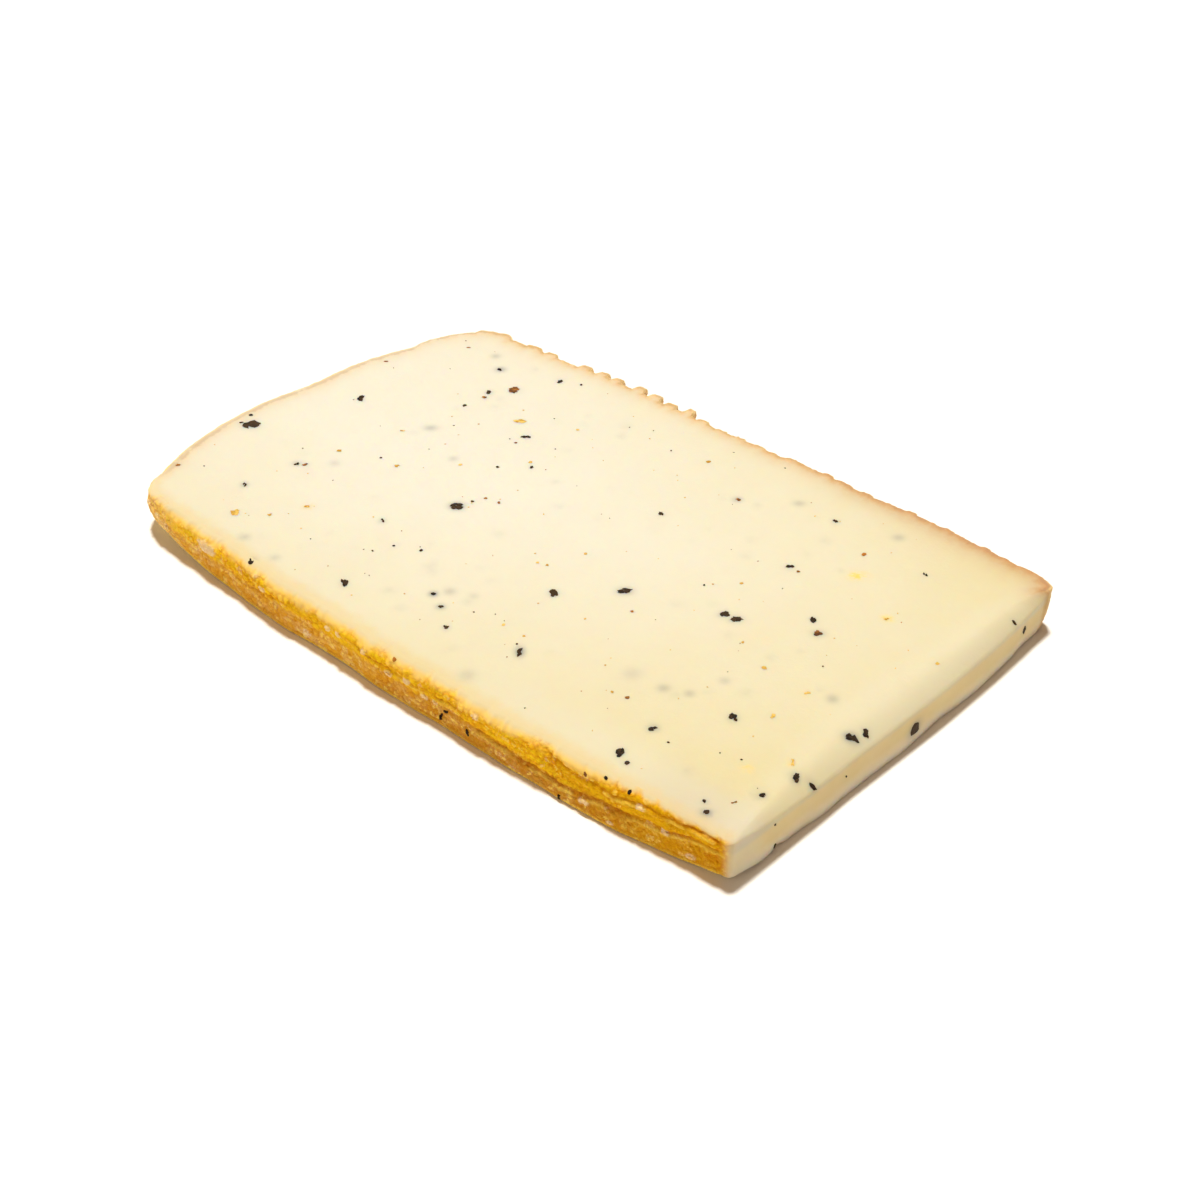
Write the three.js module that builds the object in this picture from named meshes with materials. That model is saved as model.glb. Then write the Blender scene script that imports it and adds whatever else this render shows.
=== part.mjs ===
import * as THREE from 'three';
import { LoftGeometry } from 'three/addons/geometries/LoftGeometry.js';

// A slice of semi-hard cheese, cut top to bottom through a small wheel and lying on its cut face.
// The wheel's two flat faces are the long rinds at the front (-Y) and the back (+Y), its outer wall
// is the rounded heel at -X, and the slice ends at +X in a plain cut near the wheel's middle.
// Millimetres, +Z up. The origin is on the table, under the middle of the slice.

const LENGTH = 128;
const WIDTH = 80;
const THICKNESS = 7.6;
const PLAN_MIDDLE_X = 0.54;

// The print that the draining basket leaves in the rind: fine scales all over, and three staggered rows
// of knobs along the back. Each knob has its place along the back, its height and half its width.
const SCALE_PITCH = 3.4;
const SCALE_DEPTH = 0.2;
const KNOBS = [
  [-48, 0.9, 2.6], [-40, 0.7, 1.2], [-36.3, 0.9, 0.9], [-29.2, 1.1, 0.8], [-25.6, 1, 0.7],
  [-22.5, 1.1, 0.7], [-17.8, 1.5, 0.8], [-14.3, 1.4, 0.9], [-10.8, 1.2, 0.8], [-7.2, 1.6, 0.6],
  [-3.8, 0.4, 0.8], [0.3, 0.35, 0.7], [4, 0.4, 0.6], [8, 0.3, 0.8], [14, 0.3, 0.6], [21, 0.35, 0.7],
  [29, 0.3, 0.8], [37, 0.35, 0.6], [44, 0.3, 0.7], [51, 0.3, 0.5],
];
const KNOB_ROWS = 3;
const KNOB_ROW = THICKNESS / KNOB_ROWS;
const KNOB_TOP = 6.9;
const KNOB_HALF_RISE = 1.15;
const KNOB_BEVEL = 0.35;
const KNOB_STAGGER = 1.6;

// Two creases wander along the front rind on its half towards the cut end, with a lip below them. Each
// is a line of places along the front with the crease's height above the table.
const CREASES = [
  [[14, 3.95], [23, 3.3], [30.5, 2.8], [34, 2.6], [43.5, 3.6], [52, 3.9], [56.5, 5], [62, 5.2]],
  [[29, 6.9], [36, 5.5], [43.5, 5.7], [50, 6.5], [62, 6.85]],
];
const CREASE_DEPTH = 0.4;
const CREASE_WIDTH = 0.45;
const CREASE_FADE = 6;
const LIP = 0.9;
const LIP_AT = 38;
const LIP_REACH = 13;

// The outline wanders a little, as a hand-turned rind does: how far, over what length.
const WANDERS = [[0.12, 23], [0.04, 9.5]];

// Places where the whole wall stands further out or in.
const SWELLS = [
  { x: -50, y: 34, reach: 12, out: 0.7 },
  { x: -58, y: 15, reach: 10, out: 1.4 },
  { x: -62, y: -8, reach: 8, out: 0.7 },
  { x: -63, y: -22, reach: 6, out: 0.4 },
  { x: -20, y: 38, reach: 9, out: 0.5 },
  { x: 0, y: 39, reach: 8, out: -0.4 },
  { x: 40, y: 39, reach: 20, out: 0.3 },
  { x: 63, y: 20, reach: 16, out: 0.4 },
  { x: 62, y: -14, reach: 10, out: -0.3 },
];

// The wall stands nearly plumb. It swells at the heel and along the back, its edges are rounded, and the
// slice rests on a flat base inside them. The front rim has a wider shoulder, fullest in its middle.
const UNDERCUT = 0.1;
const BELLY = 1;
const BELLY_FROM = -51;
const BELLY_TO = -61;
const BACK_SWELL = 0.5;
const RIM_ROUNDING = 0.5;
const SHOULDER = 1.5;
const SHOULDER_RISE = [[-60, 0], [-48, 1], [44, 1], [58, 0.5]];
const FOOT_ROUNDING = 0.8;
const BASE_INSET = 2.2;
const BASE_INSET_PER_LIFT = 3;

// The cut face rolls over softly to the plain cut: how far it has dropped at the edge, from the front
// of the cut to its back, and how wide the roll is.
const ROLL_DROPS = [[-36, 0.3], [-31, 1], [-23, 1.6], [-12, 1.8], [7, 1.8], [24, 1.7], [33, 1.3], [38, 0.5]];
const ROLL_WIDTH = 1.2;
const ROLL_WIDTH_PER_DROP = 2.2;

// Levels run from 0 at the table to 1 at the cut face: the rings of the wall, and how high the lip,
// the belly and the swell are fullest and how far up and down each reaches.
const WALL_LEVELS = [0, 0.05, 0.14, 0.25, 0.37, 0.5, 0.62, 0.73, 0.83, 0.91, 0.96, 0.985, 1];
const LIP_LEVEL = { at: 0.15, reach: 0.3 };
const BELLY_LEVEL = { at: 0.55, reach: 0.3 };
const BACK_SWELL_LEVEL = { at: 0.75, reach: 0.22 };
const UNDERCUT_POWER = 2.5;

// Soft places round the lower edge: how far it hangs clear of the table and how much more it leans in.
const HOLLOWS = [
  { x: -62, y: -36, reach: 15, lift: 2.9, lean: 1.4 },
  { x: 62, y: -38, reach: 6, lift: 0.9, lean: 0 },
  { x: 62, y: -16, reach: 12, lift: 0, lean: -0.4 },
  { x: 62, y: 26, reach: 18, lift: 0, lean: 0.4 },
  { x: 62, y: 41, reach: 7, lift: 0.2, lean: 0.9 },
  { x: -10, y: -39, reach: 9, lift: 0.2, lean: 0.3 },
  { x: -51, y: 34, reach: 12, lift: 0.9, lean: 0.4 },
];

// Insets run towards the spine, a straight line along the middle, so that inner rings never cross.
const SPINE_HALF = 32;

// A plan point, from -1 at the heel to 1 at the cut end and from -1 at the front to 1 at the back.
function at(along, across) {
  return new THREE.Vector2(PLAN_MIDDLE_X + along * LENGTH / 2, across * WIDTH / 2);
}

// The outline of the cut face from above, anticlockwise: each stretch is one curve, with the spacing
// of its columns and how much rind it has.
function outlineStretches() {
  const frontHeel = at(-0.8375, -0.915);
  const frontCut = at(0.953, -0.935);
  const cutFront = at(0.973, -0.9);
  const cutBack = at(0.992, 0.912);
  const backCut = at(0.958, 0.975);
  const backHeel = at(-0.641, 0.9);
  const heelBack = at(-0.884, 0.6);
  const heelBelly = at(-1, -0.375);
  const heelFront = at(-0.9375, -0.8);
  const cubic = (a, b, c, d) => new THREE.CubicBezierCurve(a, b, c, d);
  const quadratic = (a, b, c) => new THREE.QuadraticBezierCurve(a, b, c);
  return [
    { curve: cubic(frontHeel, at(-0.42, -0.995), at(0.33, -1.025), frontCut), step: 1.15, rind: 1 },
    { curve: quadratic(frontCut, at(0.972, -0.935), cutFront), step: 0.7, rind: 0.3 },
    { curve: cubic(cutFront, at(0.995, -0.45), at(1.006, 0.4), cutBack), step: 2, rind: 0 },
    { curve: quadratic(cutBack, at(0.993, 0.975), backCut), step: 0.9, rind: 0.7 },
    { curve: cubic(backCut, at(0.483, 0.995), at(-0.203, 0.945), backHeel), step: 0.95, rind: 1 },
    { curve: cubic(backHeel, at(-0.789, 0.9), at(-0.86, 0.788), heelBack), step: 1.2, rind: 0.8 },
    { curve: cubic(heelBack, at(-0.937, 0.315), at(-1, -0.025), heelBelly), step: 1.4, rind: 0.6 },
    { curve: cubic(heelBelly, at(-0.996, -0.575), at(-0.953, -0.712), heelFront), step: 1.4, rind: 0.6 },
    { curve: quadratic(heelFront, at(-0.919, -0.9), frontHeel), step: 1, rind: 0.8 },
  ];
}

// A hump of height 1 at the centre that fades to nothing at about twice its reach.
function hump(distance, reach) {
  return Math.exp(-((distance / reach) ** 2));
}

// How far a quarter-round edge pulls in at a given distance from the edge.
function quarterRound(distance, radius) {
  const left = Math.max(radius - distance, 0);
  return radius - Math.sqrt(radius * radius - left * left);
}

// How far in the face still lies where it has rolled down so deep towards the plain cut.
function softRoll(depth, drop) {
  const share = Math.min(Math.max(depth / drop, 0), 1);
  return (ROLL_WIDTH + ROLL_WIDTH_PER_DROP * drop) * (1 - Math.sqrt(share));
}

// The value at a place on a line of [place, value] points, level before the first and past the last.
function lineAt(line, place) {
  let value = line[0][1];
  for (let i = 1; i < line.length; i++) {
    const [from, low] = line[i - 1];
    const [to, high] = line[i];
    const share = THREE.MathUtils.clamp((place - from) / (to - from), 0, 1);
    value += share * (high - low);
  }
  return value;
}

// The sum of one quality of some soft round places, at a plan point.
function spread(places, quality, x, y) {
  let sum = 0;
  for (const place of places) {
    sum += place[quality] * hump(Math.hypot(x - place.x, y - place.y), place.reach);
  }
  return sum;
}

// One column of the wall: its plan point, the way in towards the spine and what the rind does there.
function makeColumn(point, along, rind) {
  const { x, y } = point;
  const spineX = THREE.MathUtils.clamp(x, -SPINE_HALF, SPINE_HALF);
  const isBack = y > WIDTH / 4;
  const isFront = y < -WIDTH / 4;
  const lipShare = isFront ? hump(x - LIP_AT, LIP_REACH) : 0;
  return {
    x,
    y,
    inward: new THREE.Vector2(spineX - x, -y).normalize(),
    along,
    rind,
    lift: spread(HOLLOWS, 'lift', x, y),
    knobs: isBack ? rind : 0,
    creases: isFront ? rind : 0,
    lip: LIP * lipShare,
    belly: BELLY * THREE.MathUtils.smoothstep(-x, -BELLY_FROM, -BELLY_TO),
    swell: spread(SWELLS, 'out', x, y),
    backSwell: isBack ? BACK_SWELL * rind : 0,
    undercut: UNDERCUT * (1 - lipShare) + spread(HOLLOWS, 'lean', x, y),
    drop: lineAt(ROLL_DROPS, y),
    rimRounding: RIM_ROUNDING + (isFront ? SHOULDER * lineAt(SHOULDER_RISE, x) : 0),
  };
}

// How far the staggered knobs along the back stand out at a height z.
function knobsAt(column, z) {
  let relief = 0;
  for (const [x, height, half] of KNOBS) {
    for (let row = 0; row < KNOB_ROWS; row++) {
      const across = half + KNOB_BEVEL - Math.abs(column.x - x - KNOB_STAGGER * (row % 2));
      const up = KNOB_HALF_RISE - Math.abs(z - KNOB_TOP + row * KNOB_ROW);
      const share = THREE.MathUtils.smoothstep(across, 0, KNOB_BEVEL);
      relief = Math.max(relief, height * share * THREE.MathUtils.smoothstep(up, 0, 2 * KNOB_BEVEL));
    }
  }
  return column.knobs * relief;
}

// How deep the creases along the front cut in at a height z.
function creasesAt(column, z) {
  let depth = 0;
  for (const line of CREASES) {
    const start = line[0][0];
    const share = THREE.MathUtils.smoothstep(column.x, start, start + CREASE_FADE);
    depth += CREASE_DEPTH * share * hump(z - lineAt(line, column.x), CREASE_WIDTH);
  }
  return column.creases * depth;
}

function makeColumns() {
  const columns = [];
  let along = 0;
  for (const { curve, step, rind } of outlineStretches()) {
    const length = curve.getLength();
    const count = Math.max(Math.round(length / step), 3);
    const points = curve.getSpacedPoints(count);
    for (let i = 0; i < count; i++) {
      columns.push(makeColumn(points[i], along + length * i / count, rind));
    }
    along += length;
  }
  return columns;
}

// How far the wall stands out of the plan outline at a height z.
function wallOffset(column, z) {
  const level = z / THICKNESS;
  const turns = 2 * Math.PI * column.along;
  const scales = SCALE_DEPTH * Math.cos(turns / SCALE_PITCH) * Math.cos(Math.PI * z / KNOB_ROW);
  let wander = 0;
  for (const [reach, length] of WANDERS) {
    wander += reach * Math.sin(turns / length);
  }
  const lip = column.lip * hump(level - LIP_LEVEL.at, LIP_LEVEL.reach);
  const belly = column.belly * hump(level - BELLY_LEVEL.at, BELLY_LEVEL.reach);
  const back = column.backSwell * hump(level - BACK_SWELL_LEVEL.at, BACK_SWELL_LEVEL.reach);
  const undercut = column.undercut * (1 - level) ** UNDERCUT_POWER;
  const roll = softRoll(THICKNESS - z, column.drop);
  const rim = THREE.MathUtils.lerp(roll, quarterRound(THICKNESS - z, column.rimRounding), column.rind);
  const foot = quarterRound(z - column.lift, FOOT_ROUNDING);
  const print = column.rind * (scales + wander) + knobsAt(column, z) - creasesAt(column, z);
  return print + column.swell + lip + belly + back - undercut - rim - foot;
}

function placed(column, outward, z) {
  const x = column.x - column.inward.x * outward;
  const y = column.y - column.inward.y * outward;
  return new THREE.Vector3(x, y, z);
}

// Rings from the base up the wall to the rim of the cut face, each one point for each column.
function makeSections(columns) {
  const baseInset = (column) => BASE_INSET + BASE_INSET_PER_LIFT * column.lift;
  const sections = [columns.map((column) => placed(column, -baseInset(column), 0))];
  for (const level of WALL_LEVELS) {
    sections.push(columns.map((column) => {
      const z = THREE.MathUtils.lerp(column.lift, THICKNESS, level);
      return placed(column, wallOffset(column, z), z);
    }));
  }
  return sections;
}

function makeSlice() {
  const sections = makeSections(makeColumns());
  const geometry = new LoftGeometry(sections, { capStart: true, capEnd: true });
  geometry.computeBoundingBox();
  const middle = geometry.boundingBox.getCenter(new THREE.Vector3());
  geometry.translate(-middle.x, -middle.y, 0);
  const ivory = new THREE.MeshStandardMaterial({ color: 0xfdf0cb, roughness: 0.5, metalness: 0 });
  const slice = new THREE.Mesh(geometry, ivory);
  slice.name = 'cheese_slice';
  return slice;
}

const model = new THREE.Group();
model.add(makeSlice());

export default model;
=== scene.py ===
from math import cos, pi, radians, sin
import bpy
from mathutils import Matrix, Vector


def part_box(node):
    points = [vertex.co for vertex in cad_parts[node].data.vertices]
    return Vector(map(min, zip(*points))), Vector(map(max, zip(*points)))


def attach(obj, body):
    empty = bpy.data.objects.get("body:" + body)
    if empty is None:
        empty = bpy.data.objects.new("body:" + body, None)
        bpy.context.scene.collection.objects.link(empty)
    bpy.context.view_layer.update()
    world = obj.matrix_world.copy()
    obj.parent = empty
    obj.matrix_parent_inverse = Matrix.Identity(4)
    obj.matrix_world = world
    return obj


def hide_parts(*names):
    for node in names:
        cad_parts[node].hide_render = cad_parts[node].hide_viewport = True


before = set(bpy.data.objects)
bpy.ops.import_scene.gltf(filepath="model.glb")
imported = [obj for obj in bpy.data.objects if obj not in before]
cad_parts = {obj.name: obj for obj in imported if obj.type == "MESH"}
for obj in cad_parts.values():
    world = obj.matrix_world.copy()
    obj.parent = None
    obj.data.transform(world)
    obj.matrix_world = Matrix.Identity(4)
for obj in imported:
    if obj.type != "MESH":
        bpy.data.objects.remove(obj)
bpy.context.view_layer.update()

# A slice of semi-hard cheese with black, brown and golden seasoning, lying on its cut face.
# The wheel's two flat faces are the long rinds at the front (-Y) and the back (+Y), its outer wall is
# the heel at -X, and the slice ends at +X in a plain cut. Lengths are millimetres until a mesh is made.
from types import SimpleNamespace

import bpy
import numpy as np
from mathutils import Vector
from mathutils.bvhtree import BVHTree
from mathutils.geometry import delaunay_2d_cdt
from mathutils.kdtree import KDTree
from numpy.random import default_rng

MM = 0.001

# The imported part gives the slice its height; its outline is drawn in the plan size round its middle.
LOWEST, HIGHEST = (np.array(corner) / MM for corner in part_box("cheese_slice"))
THICKNESS = (HIGHEST - LOWEST)[2]
LENGTH = 128
WIDTH = 80
PLAN_MIDDLE_X = 0.54

# How closely the slice is meshed: steps round the outline, rows up the wall, points on the cut face.
FRONT_STEP = 0.25
BACK_STEP = 0.26
HEEL_STEP = 0.4
CUT_STEP = 0.45
CORNER_STEP = 0.22
WALL_ROWS = 38
ROWS_DRAWN_TO_EDGES = 0.7
RIM_RINGS = ((0.12, 1), (0.28, 1), (0.5, 2), (0.8, 2), (1.2, 3), (1.7, 3), (2.3, 4))
FACE_GRID = 0.85
FACE_GRID_FROM_RIM = 2.7
CHIP_GRID = 0.28
BASE_GRID = 4.0

# The wall: it wanders, swells at the heel and along the back, and is rounded at both edges. The plain
# cut rolls over softly, except at its two corners.
WANDERS = ((0.12, 23), (0.04, 9.5))
UNDERCUT = 0.1
BELLY = 1
BELLY_FROM = -51
BELLY_TO = -61
SWELL = 0.5
RIM_ROUNDING = 0.5
SHOULDER = 1.5
SHOULDER_RISE = ((-60, 0), (-48, 1), (44, 1), (58, 0.5))
FOOT_ROUNDING = 0.8
CUT_FOOT_ROUNDING = 0.2
FRONT_FOOT_ROUNDING = 0.15
BASE_INSET = 2.2
BASE_INSET_PER_LIFT = 3
SPINE_HALF = 32
FRONT_ENDS = (60.3, 61.8)
BACK_ENDS = (59.5, 61)
FRONT_RIND_ENDS = (61.4, 62.6)
LIP = 0.9
LIP_AT = 38
LIP_REACH = 13

# Soft places round the lower edge: x, y, reach, how far it hangs clear, how much more it leans in.
HOLLOWS = (
    (-62, -36, 15, 2.9, 1.4), (62, -38, 6, 0.9, 0), (62, -16, 12, 0, -0.4), (62, 26, 18, 0, 0.4),
    (62, 41, 7, 0.2, 0.9), (-10, -39, 9, 0.2, 0.3), (-51, 34, 12, 0.9, 0.4),
)

# The face rolls down to the plain cut: y and how far it has dropped at the edge, and how wide the roll is.
ROLL_DROPS = ((-36, 0.3), (-31, 1), (-23, 1.6), (-12, 1.8), (7, 1.8), (24, 1.7), (33, 1.3), (38, 0.5))
ROLL_WIDTH = 1.2
ROLL_WIDTH_PER_DROP = 2.2

# Places where the whole wall stands further out or in: x, y, reach, how far.
SWELLS = (
    (-50, 34, 12, 0.7), (-58, 15, 10, 1.4), (-62, -8, 8, 0.7), (-63, -22, 6, 0.4), (-20, 38, 9, 0.5),
    (0, 39, 8, -0.4), (40, 39, 20, 0.3), (63, 20, 16, 0.4), (62, -14, 10, -0.3),
)

# The basket's print: fine scales all over the rind, finer marks above them, and soft streaks.
SCALE_LENGTH = 1.3
SCALE_RISE = 0.95
SCALE_RELIEF = 0.26
STREAK_RELIEF = 0.14
RIM_RELIEF = 0.18
LUMP_RELIEF = 0.12
GRAIN_RELIEF = 0.08
DRY_PLATE_RELIEF = 0.12
CUT_RELIEF = 0.1
CUT_FOOT_RELIEF = 0.35

# Knobs that the basket left along the back: x, how far each stands out, half its width.
KNOBS = (
    (-48, 0.9, 2.6), (-40, 0.7, 1.2), (-36.3, 0.9, 0.9), (-29.2, 1.1, 0.8), (-25.6, 1, 0.7),
    (-22.5, 1.1, 0.7), (-17.8, 1.5, 0.8), (-14.3, 1.4, 0.9), (-10.8, 1.2, 0.8), (-7.2, 1.6, 0.6),
    (-3.8, 0.4, 0.8), (0.3, 0.35, 0.7), (4, 0.4, 0.6), (8, 0.3, 0.8), (14, 0.3, 0.6), (21, 0.35, 0.7),
    (29, 0.3, 0.8), (37, 0.35, 0.6), (44, 0.3, 0.7), (51, 0.3, 0.5),
)
KNOB_ROWS = 3
KNOB_TOP = 6.9
KNOB_ROW = 2.53
KNOB_HALF_RISE = 1.15
KNOB_BEVEL = 0.35
KNOB_SLOPE = 0.6
KNOB_STAGGER = 1.6

# Creases along the front rind: how deep and how wide each is, and its line as x and height.
CREASES = (
    (0.4, 0.24, (
        (14, 3.95), (23, 3.3), (30.5, 2.8), (34, 2.6), (43.5, 3.6), (52, 3.9), (56.5, 5), (62, 5.2),
    )),
    (0.3, 0.22, ((29, 6.9), (36, 5.5), (43.5, 5.7), (50, 6.5), (62, 6.85))),
    (0.2, 0.16, ((-9, 6), (-4, 5.3), (3, 5.2), (10, 5.1), (15, 5.4))),
)
CREASE_WANDER = 0.12
RIDGE_BELOW = 0.5
RIDGE_WIDTH = 0.22
RIDGE_HEIGHT = 0.12
FOOT_LINE = 0.3
FOOT_LINE_WIDTH = 0.22
FOOT_LINE_HEIGHT = 0.06

# Where the golden upper band of the front rind ends and the duller lower band begins: x and height.
BAND_SPLIT = ((-62, 4.4), (-30, 4.1), (0, 4), (14, 3.95), (34, 2.6), (43.5, 3.6), (52, 3.9), (62, 5.2))

# Chips on the cut face: x and y from a point of their own, size across and along their lie, and the
# strength of the shade that each dark one casts in the paste.
CHIPS_FROM = np.array((0.9, -0.2))
CHIP_LIE = radians(41)
BLACK_CHIPS = (
    (-60, -12, 3, 2.2, 0.5), (-62, -10, 0.7, 0.7, 0), (-61.5, -12.5, 0.9, 0.6, 0), (-52, 5.5, 1, 2, 0.2),
    (-40.5, 27.5, 1.3, 1, 0.9), (-37, 21, 1.3, 1.5, 0.2), (-30.5, 31.5, 1, 1.4, 0.2),
    (-27, 33, 0.5, 0.5, 0), (-37.5, 15.5, 0.7, 0.8, 0), (-23.5, 15.5, 1.7, 1.1, 0.1),
    (-17, 9.5, 0.8, 1, 0.1), (-21, 6, 0.6, 0.5, 0), (-46, -14.5, 1.2, 0.9, 0.5), (-37, -4.5, 0.4, 0.4, 0),
    (-48, -24, 0.7, 1.1, 0.6), (-32, -37, 0.9, 1.4, 0.8), (-17.5, -31.5, 1.2, 2, 0.2),
    (-24.5, -16.5, 0.7, 1, 0.4), (-18.5, -6, 2, 1.6, 1.3), (-17.5, -3.5, 0.6, 0.6, 0),
    (-14.5, -18, 0.6, 0.6, 0), (-18.5, -20, 0.5, 0.5, 0), (-20, -23, 0.4, 0.4, 0),
    (-5.5, -24.5, 0.8, 0.8, 1.1), (-2.5, -26, 0.9, 0.9, 0.7), (1.5, -29, 0.8, 1.1, 0.2),
    (12, -25, 0.4, 0.4, 0), (13.5, -26, 0.9, 2, 1.2), (8, -12.5, 1.2, 2, 0.3), (7, 13.5, 1, 1.2, 0.1),
    (28.5, 30, 0.9, 1.2, 0.2), (47, 28, 0.7, 1, 0.1), (30.5, 16, 1.3, 1.4, 0.2),
    (15.5, -5, 2.2, 1.3, 0.8), (23.5, 4, 0.4, 0.4, 0), (30.2, 0.4, 1.5, 1.6, 0.4),
    (32.2, 0.6, 2.2, 1.5, 0.5), (41, 8, 0.9, 1.6, 0.2), (39, -26, 1.3, 1.4, 0.6),
    (46, -17, 1.3, 1.8, 0.4), (39, -33, 1.4, 1.8, 0.2), (41, -34, 0.8, 0.8, 0.2),
    (42.5, -27, 0.4, 0.4, 0), (61.3, -6.6, 1, 2, 0.2), (60, -21, 1.3, 1.7, 0.6), (59, -27, 1.3, 1.2, 0.4),
    (54, -33, 0.7, 1.1, 0.2), (60.6, -9, 2.2, 1.4, 1), (55.5, -34.5, 1.2, 1, 0.9),
    (40.5, -37.9, 0.6, 0.7, 0.2), (44.7, -37.8, 0.7, 0.7, 0.2),
)
BROWN_CHIPS = (
    (-36.5, 19.5, 1.1, 0.9, 0.1), (-34, 24.5, 3.2, 1.8, 0.1), (-23.5, 13, 0.7, 0.5, 0),
    (-45, -14, 1.5, 1, 0.2), (-57, 16.5, 0.8, 0.4, 0), (-49.5, 29, 0.7, 0.4, 0),
    (-16.5, -1.5, 0.7, 0.5, 0), (-14, -1, 0.7, 0.9, 0), (13.5, 24.5, 1.2, 1, 0.5), (37, 26, 0.8, 0.8, 0),
    (19.5, -8, 0.5, 0.5, 0), (43.5, 6, 1.7, 1.2, 0.5), (32, 16, 0.9, 0.9, 0), (57, -30.5, 0.9, 0.5, 0),
    (32, -23.5, 0.8, 0.8, 0), (-60, -27.5, 1, 0.7, 0), (37.3, -38.5, 0.8, 0.8, 0.2),
    (0.6, -38.8, 0.8, 0.7, 0.2),
)
GOLDEN_CHIPS = (
    (-27.5, 18, 2.2, 1.1), (-18.5, 22.5, 0.7, 0.5), (-18, 10.5, 0.7, 0.6), (-40, 3.5, 1, 0.6),
    (-43.5, -7.5, 0.8, 0.6), (-33.5, -4.5, 1.2, 0.9), (-26, 2.5, 0.7, 0.5), (-43.5, -30, 1.3, 1.7),
    (-39, -27, 0.9, 0.7), (-36, -21.5, 1.2, 1), (29.5, -24, 0.5, 0.5), (36.5, -3, 0.6, 0.6),
    (15.5, -14, 0.5, 0.5), (7.5, -23, 0.6, 0.6), (11.5, -23, 0.5, 0.5), (1, -8.5, 0.5, 0.5),
    (2.5, -8, 0.6, 0.5), (5, -2, 0.6, 0.6), (3.5, 29.5, 0.8, 0.8), (42.5, -5.5, 0.8, 0.8),
    (50.5, -6, 1, 0.7), (50, -13, 0.9, 1.1), (60.5, 12, 0.7, 0.7), (27.5, 8, 0.6, 0.6),
    (58, -19, 0.5, 1.6), (49, 15.5, 1, 0.6),
)

# Shades without a chip at the surface, and yellow smears: x, y, size across, size along, strength.
SUNKEN_SHADES = (
    (-44, 30, 1.2, 1, 0.5), (-37, 7, 2.1, 1.2, 0.6), (-41.5, -10.5, 1.4, 1.1, 0.3), (-28, 3, 1, 1, 0.4),
    (-37.5, -33.5, 1.3, 1.2, 0.5), (-30, -34, 1.2, 1, 0.4), (-4, -22.5, 1.5, 1.3, 0.5),
    (-0.5, -21, 1, 1, 0.3), (-14.5, -39, 2.1, 1.4, 0.9), (0.5, -39, 1.9, 1.6, 0.8),
    (34.5, -18.5, 1.5, 1.2, 0.6), (38, -17, 1.2, 1, 0.5), (40, -11.5, 1.2, 1, 0.4),
    (54, -4.5, 1.2, 1.5, 0.6), (21.5, 30, 1.6, 1, 0.5), (38.5, 33, 1.6, 1.2, 0.5),
    (11.5, -35, 2.2, 2.2, 0.4), (29, -19, 3, 2.8, 0.3),
)
SMEARS = (
    (39.5, 21, 3, 1.9, 0.9), (49, 15.5, 1.6, 1.5, 0.8), (58, -19, 1, 1.9, 0.5),
    (-36, -21.5, 1.8, 1.6, 0.4), (50.5, -6, 1.4, 1, 0.5), (54, -24, 1.6, 1.6, 0.5),
)

# Seasoning too small to list one by one: how many specks of each colour, and how large they are.
SPECKS = {"black": 25, "brown": 35, "golden": 70}
SPECK_SIZE = (0.14, 0.4)
SPECKS_FROM_RIM = 2
FAINT_SHADES = 60
FAINT_SHADES_WITHIN = (56, 33)

# Chips on the plain cut at the end: y, height, width, height of the chip, shade. The notch in that cut's
# lower edge has a y, a width and a height.
END_CHIPS = (
    (2.5, 2.8, 2.4, 2.2, 1), (-20, 6.3, 0.8, 1.4, 0.3), (30.5, 3.9, 0.8, 1.5, 0.3),
    (28, 6.6, 0.5, 1, 0.1), (-28.5, 5.3, 0.45, 0.45, 0), (-28, 0.9, 0.6, 1.1, 0.1),
    (-13, 3.8, 0.35, 0.35, 0),
)
NOTCH = (-27.6, 0.9, 0.7)
NOTCH_DEPTH = 0.5
# Chips in the front rind: x, height, width, height of the chip.
RIND_CHIPS = (
    (12.1, 3.4, 1, 0.9), (11.2, 2.2, 0.5, 1.6), (16.3, 2, 0.8, 1.5), (34.3, 0.75, 0.5, 1.1),
)
# Pale dry plates of the front rind: x, height, length, rise.
RIND_PLATES = (
    (-41.4, 5.6, 5, 2.2), (-57, 5.4, 1.2, 0.9), (-54, 5, 1.1, 0.9), (-52.3, 3.6, 1.2, 0.9),
    (-29, 6.7, 1.3, 0.9), (-27.5, 5, 1.8, 1), (-17.5, 2, 1.9, 1.2), (-12.7, 5.4, 1.2, 0.9),
    (-10.3, 5.6, 1.2, 1), (-4.6, 5.6, 1, 0.8), (0.5, 4.3, 1.5, 0.9), (4.5, 5, 1.5, 1.1),
    (7.9, 3.9, 1.4, 0.8), (9.9, 3.9, 1.2, 0.8), (18.1, 6, 1.5, 1), (38.4, 2.2, 1.8, 0.9),
    (43.1, 1, 1.5, 0.7), (47.9, 5.8, 1.5, 0.8), (52.1, 3.8, 1.4, 0.7), (56.3, 1.6, 1.8, 1),
)

# Camera and light.
CAMERA_TARGET = (15.1, -9.36, 7.6)
CAMERA_AZIMUTH = radians(41.3)
CAMERA_ELEVATION = radians(38)
CAMERA_DISTANCE = 358
LENS = 72
SENSOR = 36
SUN_FROM = (-0.19, 0.185, 1)
SUN_STRENGTH = 3.5
SUN_ANGLE = radians(8)
SUN_COLOUR = (1.0, 0.97, 0.91)
GLOW_FROM = (-0.45, -1, 0.3)
GLOW_STRENGTH = 0.74
GLOW_ANGLE = radians(60)
GLOW_COLOUR = (1.0, 0.80, 0.53)
ROOM_COLOUR = (0.25, 0.173, 0.121, 1)
FLOOR_HALF = 12000
FLOOR_DROP = 0.02


# ---- small shapes of numbers

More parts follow.
